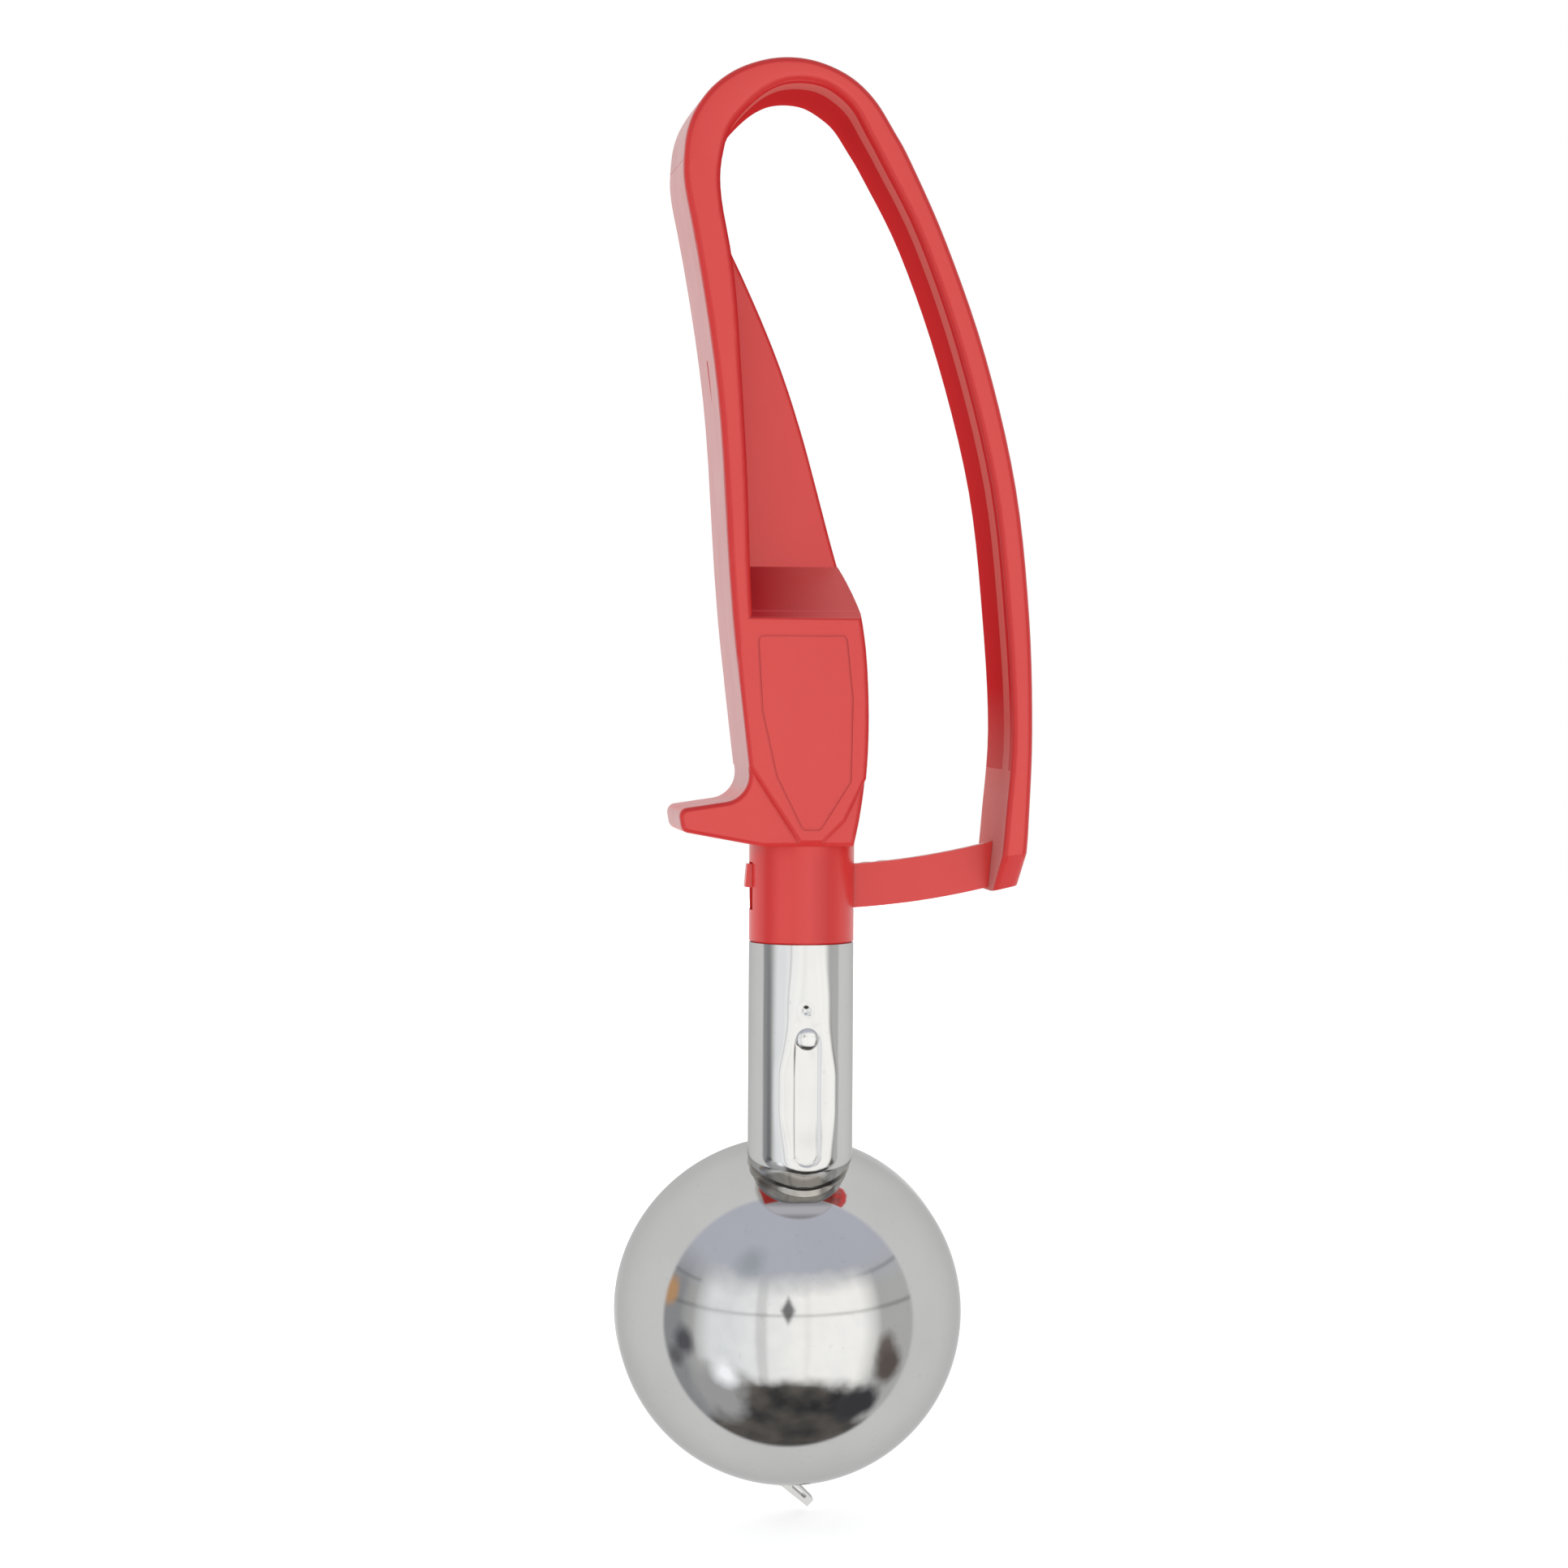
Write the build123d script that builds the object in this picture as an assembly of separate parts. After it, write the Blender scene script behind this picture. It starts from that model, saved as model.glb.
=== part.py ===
"""Lever ice cream scoop: a moulded squeeze handle that turns a sweep blade in a round bowl.

Millimetres. +Z runs up the neck tube to the top of the handle loop, +X to the squeeze
lever and +Y away from the bowl's round back. The origin is the hanging point: the inner
surface of the loop, straight above the neck tube.
"""
import math
import os

from build123d import *

# Handle moulding
handle_depth = 20.0
edge_radius = 1.0
pivot_z = 2.1
bow_foot_z = -11.0
bar_end_z = -100.0
web_thickness = 3.0
web_top_z = -22.0
ramp_top_z = -70.5
ramp_end_z = -78.3
block_end_z = -112.2
shield_step = 1.0
block_edge_radius = 0.8
web_edge_radius = 0.6
badge_line_width = 0.3
badge_line_depth = 0.2
guard_reach = 19.8
guard_tip_radius = 1.3
guard_root_radius = 4.0

# Squeeze lever
lever_end_z = -119.2
lever_chamfer_z = -113.4
lever_tip_depth = 7.0
lever_middle_x = 31.0

# Neck tube and the collar and spigot that carry it
tube_diameter = 15.875
tube_wall = 0.8
collar_end_z = -127.0
spigot_end_z = -150.0
spigot_clearance = 0.05
shoulder_z = -160.3
neck_z = -163.6
neck_diameter = 11.0
shoulder_radius = 4.0
braze_width = 0.45
braze_height = 0.7
trough_half_width = 3.6
trough_depth = 1.3
trough_top_z = -143.2
trough_end_z = -160.6
rivet_z = -141.1
rivet_head_diameter = 3.2
rivet_head_height = 0.5
rivet_shank_diameter = 2.0
rivet_length = 6.0

# Bowl
bowl_inner_radius = 25.9
bowl_wall = 0.85
bowl_skirt = 4.0
bowl_rim_chamfer = 0.3
bowl_centre_y = 11.6
neck_seat_z = -164.6

# Rack and pinion
gear_module = 0.8
pinion_teeth = 7
rack_teeth_left = 2
rack_teeth_right = 5
pressure_angle = 30.0
tooth_addendum = 0.6
tooth_dedendum = 0.75
tooth_backlash = 0.24
pinion_width = 5.0
pinion_y = 3.9
pinion_z = -118.75
arm_front_y = -1.6
arm_height = 6.6
arm_overhang = 0.8
arm_tip_height = 3.5
arm_tip_length = 2.2
pocket_clearance = 0.3

# Sweep
shaft_diameter = 3.0
shaft_clearance = 0.05
shaft_slot_clearance = 0.4
shaft_top_length = 8.0
shaft_peen = 0.8
washer_clearance = 0.2
washer_thickness = 0.5
blade_width = 5.0
blade_thickness = 0.8
blade_clearance = 0.35
tail_thickness = 1.4
tail_slot = 0.5
tail_width = 2.4
tail_reach = 3.3
tail_drop = 3.0
tail_stem = 1.2

# Worked out from the values above
half_depth = handle_depth / 2
beyond = 2 * (pivot_z - spigot_end_z)
tube_radius = tube_diameter / 2
tube_bore = tube_radius - tube_wall
neck_radius = neck_diameter / 2
bowl_outer_radius = bowl_inner_radius + bowl_wall
bowl_centre_z = neck_seat_z - math.sqrt(bowl_outer_radius**2 - (bowl_centre_y + neck_radius) ** 2)
neck_length = neck_z - bowl_centre_z
shaft_radius = shaft_diameter / 2
shaft_hole = shaft_radius + shaft_clearance
pitch_radius = gear_module * pinion_teeth / 2
washer_diameter = 2 * (pitch_radius - tooth_addendum - washer_clearance)
tooth_pitch = math.pi * gear_module
rack_radius = pivot_z - pinion_z
tooth_angle = math.degrees(tooth_pitch / rack_radius)
arm_inner_radius = rack_radius - arm_height / 2
arm_outer_radius = rack_radius + arm_height / 2
arm_left_x = -(tube_radius + arm_overhang)
axis_tilt = math.atan2(bowl_centre_y - pinion_y, pinion_z - bowl_centre_z)
sweep_length = math.hypot(bowl_centre_y - pinion_y, pinion_z - bowl_centre_z)

# Sweep axis: local z runs from the pinion to the bowl, local x towards the lever
axis_down = Vector(0, math.sin(axis_tilt), -math.cos(axis_tilt))
pinion_plane = Plane(origin=(0, pinion_y, pinion_z), x_dir=(1, 0, 0), z_dir=axis_down)
# Bowl: local z runs out through the middle of the round back, local y up the sweep axis
pole = Vector(0, -math.cos(axis_tilt), -math.sin(axis_tilt))
pole_plane = Plane(origin=(0, bowl_centre_y, bowl_centre_z), x_dir=(1, 0, 0), z_dir=pole)

# Outlines in the plane of the handle, as (x, z), from the guard over the loop to the lever's end
outer_line = [
    (-8.9, bar_end_z), (-10.8, -88.0), (-12.5, -70.4), (-14.2, -46.0), (-16.3, -31.0),
    (-18.6, -18.6), (-19.5, -11.3), (-17.1, -4.2), (-11.3, 2.1), (-3.8, 4.2),
    (3.2, 3.2), (8.7, -0.7), (14.6, -10.7), (20.0, -22.7), (26.0, -39.4),
    (30.7, -58.7), (32.9, -78.0), (33.5, -95.0), (33.0, -110.0), (32.4, lever_end_z + 0.9),
]
inner_line = [
    (28.4, lever_end_z), (29.4, -108.0), (30.3, -95.0), (29.3, -78.0), (27.0, -58.5),
    (22.5, -40.2), (16.8, -24.0), (10.4, -10.6), (5.2, -2.7), (0.0, 0.0),
    (-4.5, -0.3), (-10.6, -4.0), (-13.9, -11.6), (-12.6, -23.1), (-10.8, -41.0),
    (-9.7, -59.0), (-9.3, -70.0), (-5.9, bar_end_z),
]
web_edge = [
    (-12.2, web_top_z), (-9.2, -28.2), (-4.0, -40.3), (0.0, -52.4), (3.3, -64.5),
    (5.0, -70.5), (7.5, -78.5), (8.5, -88.0), (8.5, -99.0), (7.3, -109.0), (6.6, block_end_z),
]
badge_corners = [
    (-8.3, -80.7), (5.2, -80.7), (6.2, -90.0), (6.0, -102.5), (1.4, -109.8),
    (-1.4, -109.8), (-5.4, -101.8), (-7.6, -92.0),
]
shield_corners = [(-9.7, -99.8), (-1.8, -111.8), (1.8, -111.8), (5.2, -108.4), (8.8, -101.0)]


def flat(points):
    """Points (x, z) of the handle's plane as points in space."""
    return [(x, 0, z) for x, z in points]


def slab(wires, depth):
    """Closed outline in the handle's plane, extruded to a depth on both sides of it."""
    return Pos(0, -depth, 0) * extrude(make_face(wires), amount=2 * depth, dir=(0, 1, 0))


def above(z):
    """Everything above a height, to cut with."""
    return Pos(0, 0, z + beyond / 2) * Box(beyond, beyond, beyond)


def right_of(x):
    """Everything on the lever's side of an x, to cut with."""
    return Pos(x + beyond / 2, 0, 0) * Box(beyond, beyond, beyond)


def left_of(x):
    return Pos(x - beyond / 2, 0, 0) * Box(beyond, beyond, beyond)


def loop():
    """The whole springy ribbon: bar, bow and lever in one sweep of the outline."""
    outer = Spline(*flat(outer_line))
    inner = Spline(*flat(inner_line))
    lever_end = Line(outer @ 1, inner @ 0)
    bar_end = Line(inner @ 1, outer @ 0)
    ribbon = slab([outer, lever_end, inner, bar_end], half_depth)
    long_edges = ribbon.edges().filter_by(lambda e: e.length > handle_depth * 5)
    return fillet(long_edges, edge_radius)


def bar(ribbon):
    return ribbon - above(bow_foot_z) - right_of(0)


def squeeze_lever(ribbon):
    """The lever's lower end narrows in depth towards the arm that it carries."""
    lever = ribbon - above(bow_foot_z) - left_of(0)
    tip_half = lever_tip_depth / 2
    depth_outline = Polyline(
        (0, -half_depth, bow_foot_z + 10),
        (0, -half_depth, lever_chamfer_z),
        (0, -tip_half, lever_end_z - 1),
        (0, tip_half, lever_end_z - 1),
        (0, half_depth, lever_chamfer_z),
        (0, half_depth, bow_foot_z + 10),
        close=True,
    )
    return lever & extrude(make_face(depth_outline), amount=beyond, dir=(1, 0, 0))


def spring_bow(ribbon):
    return ribbon & above(bow_foot_z)


def web():
    edge = Spline(*flat(web_edge[:6]))
    back = Polyline(edge @ 1, (-11.0, 0, web_edge[5][1]), (-15.0, 0, -40.0), edge @ 0)
    plate = slab([edge, back], web_thickness / 2)
    return fillet(plate.edges().filter_by(lambda e: e.geom_type == GeomType.BSPLINE), web_edge_radius)


def block_outline():
    """Block and finger guard in the handle's plane, from the top of the ramp to the collar."""
    right = Spline(*flat(web_edge[5:]))
    left = Polyline(
        right @ 1,
        (-7.2, 0, block_end_z),
        (-guard_reach + 0.6, 0, block_end_z + 2.2),
        (-guard_reach, 0, block_end_z + 5.6),
        (-8.8, 0, block_end_z + 7.2),
        (-10.8, 0, -88.0),
        (-12.3, 0, -70.5),
        right @ 0,
    )
    return [right, left]


def rounded(solid, corner, radius):
    """Round the upright edge of an extruded outline that passes through a corner (x, z)."""
    reach = 0.2
    near = solid.edges().filter_by(Axis.Y).filter_by(
        lambda e: abs(e.center().X - corner[0]) < reach and abs(e.center().Z - corner[1]) < reach
    )
    return fillet(near, radius)


def depth_envelope(depth):
    """Side view of the block: full depth below the ramp, web thickness above it."""
    thin = web_thickness / 2
    profile = Polyline(
        (0, -thin, ramp_top_z + 1),
        (0, -thin, ramp_top_z),
        (0, -depth, ramp_end_z + half_depth - depth),
        (0, -depth, block_end_z),
        (0, depth, block_end_z),
        (0, depth, ramp_end_z + half_depth - depth),
        (0, thin, ramp_top_z),
        (0, thin, ramp_top_z + 1),
        close=True,
    )
    return extrude(make_face(profile), amount=handle_depth * 2, dir=(1, 0, 0), both=True)


def softened(body, depth):
    """Round the edges of a block's front and back faces, which lie at a depth."""
    faces = body.faces().filter_by(Axis.Y).filter_by(lambda f: abs(abs(f.center().Y) - depth) < 0.01)
    return fillet(faces.edges(), block_edge_radius)


def badge_groove():
    """Thin engraved line round the shield, on the front and the back."""
    outline = FilletPolyline(*flat(badge_corners), radius=1.0, close=True)
    plate = make_face(outline)
    inside = offset(plate, -badge_line_width)
    ring = extrude(plate - inside, amount=badge_line_depth * 2, dir=(0, 1, 0))
    shift = badge_line_depth
    return Pos(0, -half_depth - shift, 0) * ring + Pos(0, half_depth - shift, 0) * ring


def block():
    """Block with the guard, and the raised shield on its front and back."""
    body = slab(block_outline(), half_depth)
    body = rounded(body, (-guard_reach, block_end_z + 5.6), guard_tip_radius)
    body = rounded(body, (-guard_reach + 0.6, block_end_z + 2.2), guard_tip_radius)
    body = rounded(body, (-8.8, block_end_z + 7.2), guard_root_radius)
    shield = Polyline(
        *flat(shield_corners),
        (12.0, 0, -98.0),
        (12.0, 0, -60.0),
        (-16.0, 0, -60.0),
        (-16.0, 0, -98.0),
        close=True,
    )
    raised = body & slab([shield], half_depth) & depth_envelope(half_depth)
    recessed = body & depth_envelope(half_depth - shield_step)
    raised = softened(raised, half_depth) - badge_groove()
    return raised + softened(recessed, half_depth - shield_step)


def along_axis(radius, start, end):
    """Round bar on the sweep axis, between two distances below the pinion's middle."""
    length = end - start
    return pinion_plane * Pos(0, 0, start + length / 2) * Cylinder(radius, length)


def arm_section(front, back_offset, inner, outer):
    """Section of the rack arm, whose back lies parallel to the sweep axis at an offset."""
    shift = back_offset / math.cos(axis_tilt)

    def back_y(radius):
        return pinion_y - shift + (radius - rack_radius) * math.tan(axis_tilt)

    corners = [(front, inner), (back_y(inner), inner), (back_y(outer), outer), (front, outer)]
    return Polyline(*[(0, y, pivot_z - r) for y, r in corners], close=True)


def arm_sweep(section, left_x, right_x):
    """Turn a section about the hinge, from one x to another at the rack's radius."""
    start = math.degrees(math.asin(left_x / rack_radius))
    end = math.degrees(math.asin(right_x / rack_radius))
    hinge = Axis((0, 0, pivot_z), (0, 1, 0))
    turned = make_face(section).rotate(hinge, -start)
    return revolve(turned, hinge, -(end - start))


def arm_pocket():
    gap = pocket_clearance
    section = arm_section(
        arm_front_y - gap, pitch_radius - tooth_addendum - gap, arm_inner_radius - gap, arm_outer_radius + gap
    )
    return arm_sweep(section, -tube_diameter, tube_diameter)


def pinion_room():
    """The hollow behind the arm in which the pinion and its washer turn."""
    radius = pitch_radius + tooth_addendum + 0.25
    half = pinion_width / 2
    return along_axis(radius, -half - pocket_clearance, half + washer_thickness + pocket_clearance)


def trough(grow):
    """The long dent in the tube's front, as the round-ended bar that would press it."""
    bend = 1 / (2 * trough_depth / trough_half_width**2 - 1 / tube_radius)
    axis_y = -(tube_radius + bend - trough_depth)
    length = trough_top_z - trough_end_z - 2 * trough_half_width
    middle = (trough_top_z + trough_end_z) / 2
    radius = bend + grow
    bar_solid = Cylinder(radius, length)
    ends = Pos(0, 0, length / 2) * Sphere(radius) + Pos(0, 0, -length / 2) * Sphere(radius)
    return Pos(0, axis_y, middle) * (bar_solid + ends)


def handle_grip(ribbon):
    collar_length = block_end_z - collar_end_z
    collar = Pos(0, 0, block_end_z - collar_length / 2) * Cylinder(tube_radius, collar_length)
    collar = chamfer(collar.edges().group_by(Axis.Z)[0], 0.3)
    collar = collar + Pos(0, 0, block_end_z + 2) * Cylinder(tube_radius, 4)
    spigot_length = collar_end_z - spigot_end_z
    spigot_radius = tube_bore - spigot_clearance
    spigot = Pos(0, 0, collar_end_z - spigot_length / 2) * Cylinder(spigot_radius, spigot_length)
    spigot -= trough(tube_wall + spigot_clearance)
    grip = bar(ribbon) + web() + block() + collar + spigot
    grip -= arm_pocket()
    grip -= pinion_room()
    grip -= along_axis(shaft_hole, -shaft_top_length - 0.3, 40)
    grip -= shaft_slot()
    grip -= rivet_hole()
    return grip


def shaft_slot():
    """Clearance behind the shaft where it leaves the spigot and the back of the tube."""
    radius = shaft_radius + shaft_slot_clearance
    start = (tube_bore - shaft_radius - pinion_y) / math.sin(axis_tilt) - 6
    slot = along_axis(radius, start, sweep_length)
    return slot + slot.translate((0, tube_wall * 4, 0))


def rivet_hole():
    return Pos(0, -tube_radius + rivet_length / 2, rivet_z) * Rot(90, 0, 0) * Cylinder(
        rivet_shank_diameter / 2, rivet_length
    )


def tube_form(radius, neck):
    """Straight tube, swaged shoulder and narrow neck as one solid."""
    top = Pos(0, 0, (collar_end_z + shoulder_z) / 2) * Cylinder(radius, collar_end_z - shoulder_z)
    cone = Pos(0, 0, (shoulder_z + neck_z) / 2) * Cone(neck, radius, shoulder_z - neck_z)
    low = Pos(0, 0, neck_z - neck_length / 2) * Cylinder(neck, neck_length)
    form = top + cone + low
    shoulder = form.edges().filter_by(lambda e: abs(e.center().Z - shoulder_z) < 0.01)
    return fillet(shoulder.filter_by(GeomType.CIRCLE), shoulder_radius)


def neck_tube():
    """Drawn tube with a swaged neck, trimmed to the bowl's back and dented along its front."""
    inside = tube_form(tube_bore, neck_radius - tube_wall) - trough(tube_wall)
    tube = tube_form(tube_radius, neck_radius) - inside - trough(0)
    tube -= Pos(0, bowl_centre_y, bowl_centre_z) * Sphere(bowl_outer_radius)
    return tube - shaft_slot() - rivet_hole()


def tube_rivet():
    head = Pos(0, -tube_radius - rivet_head_height / 2, rivet_z) * Rot(90, 0, 0) * Cylinder(
        rivet_head_diameter / 2, rivet_head_height
    )
    head = fillet(head.edges().group_by(Axis.Y)[0], rivet_head_height * 0.6)
    seat = Pos(0, -tube_radius + 0.1, rivet_z) * Rot(90, 0, 0) * Cylinder(rivet_shank_diameter / 2, 0.4)
    return head + rivet_hole() + seat


def braze_bead():
    """Filler round the tube's foot where it meets the bowl, following the bowl's round back."""
    ring = tube_form(tube_radius + braze_width, neck_radius + braze_width)
    skin = Sphere(bowl_outer_radius + braze_height) - Sphere(bowl_outer_radius)
    bead = ring & (Pos(0, bowl_centre_y, bowl_centre_z) * skin)
    return bead - shaft_slot() - tube_form(tube_radius, neck_radius)


def rack_tooth():
    """One rack tooth in mesh straight below the hinge, with its crest towards the pinion."""
    half_pitch = tooth_pitch / 4 - tooth_backlash / 4
    slope = math.tan(math.radians(pressure_angle))
    root = tooth_dedendum + 0.3
    outline = Polyline(
        (-half_pitch - root * slope, pitch_radius + root),
        (-half_pitch + tooth_addendum * slope, pitch_radius - tooth_addendum),
        (half_pitch - tooth_addendum * slope, pitch_radius - tooth_addendum),
        (half_pitch + root * slope, pitch_radius + root),
        close=True,
    )
    tooth = extrude(make_face(outline), amount=arm_height + 2, dir=(0, 0, 1))
    return pinion_plane * Pos(0, 0, -arm_height / 2 - 1) * tooth


def rack_arm(lever):
    """Curved arm centred on the hinge, toothed along its back and with a slim tip to enter the collar."""
    root = pitch_radius + tooth_dedendum
    section = arm_section(arm_front_y, root, arm_inner_radius, arm_outer_radius)
    arm = arm_sweep(section, arm_left_x, lever_middle_x)
    below_tip = arm_section(arm_front_y - 1, 0, arm_inner_radius + arm_tip_height, arm_outer_radius + 1)
    arm -= arm_sweep(below_tip, arm_left_x - 1, arm_left_x + arm_tip_length)
    arm -= lever
    arm = arm.solids().sort_by(Axis.X)[0]
    hinge = Axis((0, 0, pivot_z), (0, 1, 0))
    band = arm_sweep(
        arm_section(arm_front_y, pitch_radius - tooth_addendum, arm_inner_radius, arm_outer_radius),
        -handle_depth, handle_depth
    )
    tooth = rack_tooth() & band
    for place in range(-rack_teeth_left, rack_teeth_right + 1):
        arm += tooth.rotate(hinge, -place * tooth_angle)
    return arm


def involute(base, radius):
    """Involute angle, in radians, from the base circle out to a radius."""
    roll = math.acos(min(1, base / radius))
    return math.tan(roll) - roll


def pinion():
    """Stub-toothed involute pinion, with a tooth space facing the rack at rest."""
    base = pitch_radius * math.cos(math.radians(pressure_angle))
    tip = pitch_radius + tooth_addendum
    root = pitch_radius - tooth_dedendum
    thinning = tooth_backlash / 4 / pitch_radius
    half_at_base = math.pi / 2 / pinion_teeth - thinning + involute(base, pitch_radius)
    step = 2 * math.pi / pinion_teeth
    radii = [base + (tip - base) * k / 4 for k in range(5)]

    def polar(radius, angle):
        return (radius * math.sin(angle), radius * math.cos(angle))

    blank = Circle(root)
    for tooth in range(pinion_teeth):
        middle = (tooth + 0.5) * step
        half = [(r, half_at_base - involute(base, r)) for r in radii]
        left = [polar(r, middle - a) for r, a in half]
        right = [polar(r, middle + a) for r, a in reversed(half)]
        foot = [polar(root - 0.3, middle + half_at_base), polar(root - 0.3, middle - half_at_base)]
        blank += make_face(Polyline(*left, *right, *foot, close=True))
    gear = extrude(blank, amount=pinion_width / 2, both=True)
    return pinion_plane * (gear - Cylinder(shaft_radius, pinion_width * 2))


def washer():
    start = pinion_width / 2 + 0.1
    return along_axis(washer_diameter / 2, start, start + washer_thickness) - along_axis(
        shaft_radius, start - 1, start + washer_thickness + 1
    )


def sweep_shaft():
    end = sweep_length - (bowl_inner_radius - blade_clearance - blade_thickness - shaft_peen)
    shaft = along_axis(shaft_radius, -shaft_top_length, end)
    return chamfer(shaft.edges(), 0.3)


def bowl():
    """Half sphere with a straight skirt, pierced at both ends of the sweep axis."""
    skirt = Pos(0, -bowl_skirt / 2)
    outside = Circle(bowl_outer_radius) + skirt * Rectangle(bowl_outer_radius * 2, bowl_skirt)
    inside = Circle(bowl_inner_radius) + skirt * Rectangle(bowl_inner_radius * 2, bowl_skirt)
    kept = Pos(bowl_outer_radius, bowl_outer_radius - bowl_skirt) * Rectangle(
        bowl_outer_radius * 2, bowl_outer_radius * 2
    )
    profile = Plane.XZ * ((outside - inside) & kept)
    cup = revolve(profile, Axis.Z, 360)
    cup = chamfer(cup.edges().group_by(Axis.Z)[0], bowl_rim_chamfer)
    hole = Rot(90, 0, 0) * Cylinder(shaft_hole, bowl_outer_radius * 3)
    return pole_plane * (cup - hole)


def sweep_blade():
    """Band that follows half the bowl, with an eye on the shaft and a bent tail below."""
    outer = bowl_inner_radius - blade_clearance
    shell = Sphere(outer) - Sphere(outer - blade_thickness)
    half_band = Pos(outer, 0, 0) * Box(outer * 2, outer * 3, blade_width)
    eyes = Rot(90, 0, 0) * Cylinder(blade_width / 2, outer * 3)
    blade = shell & (half_band + eyes)
    blade -= Pos(0, outer, 0) * Rot(90, 0, 0) * Cylinder(shaft_radius, outer * 2)
    stem_end = bowl_outer_radius + tail_stem
    stem_start = outer - blade_thickness
    stem_length = stem_end - stem_start
    blade += Pos(0, -stem_start - stem_length / 2, 0) * Rot(90, 0, 0) * Cylinder(shaft_radius, stem_length)
    half = tail_thickness / 2
    run = math.hypot(tail_reach, tail_drop)
    strip = Polyline(
        (-half, -stem_end + tail_thickness),
        (half, -stem_end + tail_thickness),
        (half + tail_reach + half * tail_drop / run, -stem_end - tail_drop + half * tail_reach / run),
        (half + tail_reach - half * tail_drop / run, -stem_end - tail_drop - half * tail_reach / run),
        (-half, -stem_end),
        close=True,
    )
    blade += extrude(make_face(strip), amount=tail_width / 2, both=True)
    middle = Pos((half + tail_reach) * 0.55, -stem_end - (tail_drop - half) * 0.5 + 0.1)
    lean = math.degrees(math.atan2(tail_drop, tail_reach))
    fold = middle * Rot(0, 0, -lean) * SlotOverall(run * 0.65, tail_slot)
    blade -= extrude(fold, amount=tail_width, both=True)
    return pole_plane * blade


def main():
    ribbon = loop()
    lever = squeeze_lever(ribbon)
    pieces = {
        "handle_grip": handle_grip(ribbon),
        "spring_bow": spring_bow(ribbon),
        "squeeze_lever": lever,
        "rack_arm": rack_arm(lever),
        "neck_tube": neck_tube(),
        "tube_rivet": tube_rivet(),
        "braze_bead": braze_bead(),
        "pinion": pinion(),
        "thrust_washer": washer(),
        "sweep_shaft": sweep_shaft(),
        "bowl": bowl(),
        "sweep_blade": sweep_blade(),
    }
    os.makedirs("parts", exist_ok=True)
    for name, shape in pieces.items():
        export_step(shape, f"parts/{name}.step")
        print(name, len(shape.solids()), round(shape.volume, 1))


main()
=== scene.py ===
# %% [markdown]
# # A lever ice cream scoop
# The real object is a one-piece red moulding whose bent top is its own return spring. Under it sits
# a bright neck tube, brazed to a polished round bowl. A rack arm on the squeeze lever turns a small
# pinion, and a thin blade sweeps the bowl clean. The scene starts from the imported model, because
# each Blender piece has to sit exactly on a CAD body.

# %% Load the frame
import math
import bpy
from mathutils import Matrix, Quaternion, Vector


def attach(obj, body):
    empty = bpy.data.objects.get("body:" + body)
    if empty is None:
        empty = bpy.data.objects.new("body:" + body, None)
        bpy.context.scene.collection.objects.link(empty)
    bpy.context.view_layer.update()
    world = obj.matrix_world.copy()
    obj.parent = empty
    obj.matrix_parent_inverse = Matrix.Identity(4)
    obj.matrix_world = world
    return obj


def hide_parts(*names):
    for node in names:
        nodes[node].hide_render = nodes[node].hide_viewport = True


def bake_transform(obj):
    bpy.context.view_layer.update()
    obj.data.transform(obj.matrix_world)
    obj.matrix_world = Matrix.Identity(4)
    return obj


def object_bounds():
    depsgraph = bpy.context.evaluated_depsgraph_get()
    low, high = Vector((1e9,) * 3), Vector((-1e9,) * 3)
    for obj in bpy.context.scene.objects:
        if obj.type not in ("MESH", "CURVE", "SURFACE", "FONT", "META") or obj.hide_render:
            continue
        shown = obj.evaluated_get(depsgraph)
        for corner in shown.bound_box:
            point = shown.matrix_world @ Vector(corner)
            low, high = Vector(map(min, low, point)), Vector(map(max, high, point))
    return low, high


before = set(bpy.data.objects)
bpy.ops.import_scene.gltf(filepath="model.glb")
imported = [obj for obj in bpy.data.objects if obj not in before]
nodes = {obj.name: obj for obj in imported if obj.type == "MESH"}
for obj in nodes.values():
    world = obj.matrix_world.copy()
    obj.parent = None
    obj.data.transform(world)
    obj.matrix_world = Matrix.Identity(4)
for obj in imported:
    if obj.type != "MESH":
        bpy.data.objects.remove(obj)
cad_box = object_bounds()
print("CAD nodes:", ", ".join(sorted(nodes)))

# %% [markdown]
# ## Camera
# A long lens about half a metre away keeps the handle's sides nearly parallel, as a product view
# does. It stands a little to the left and looks slightly down, so the flank of the bar and the
# underside of the loop both show. A third of a degree of roll stands for an object laid down by
# hand. Setting the camera first lets every later piece be judged from the same place.

# %% Camera
camera_data = bpy.data.cameras.new("camera")
camera = bpy.data.objects.new("camera", camera_data)
bpy.context.scene.collection.objects.link(camera)
camera_data.lens = 82.83
camera_data.sensor_width = 36
camera_data.clip_start = 0.01
camera.location = (-0.0785, -0.5390, -0.0842)
aim = Vector((-0.0027, 0.0004, -0.1032)) - camera.location
roll = Quaternion((0, 0, 1), math.radians(0.33))
camera.rotation_euler = (aim.to_track_quat("-Z", "Y") @ roll).to_euler()
bpy.context.scene.camera = camera
print("camera distance", round(aim.length, 3))

# %% [markdown]
# ## Shader maths as plain expressions
# Every finish below is a few masks and sums. Wrapping a socket in a small class lets them be
# written as Python expressions, and each operator adds one Math node. All other nodes come from one
# method.

# %% Wire: one socket with arithmetic
def plug(tree, target, value):
    """Link a wire to an input, or set the input's own value."""
    if isinstance(value, Wire):
        tree.links.new(value.socket, target)
    else:
        target.default_value = value


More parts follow.
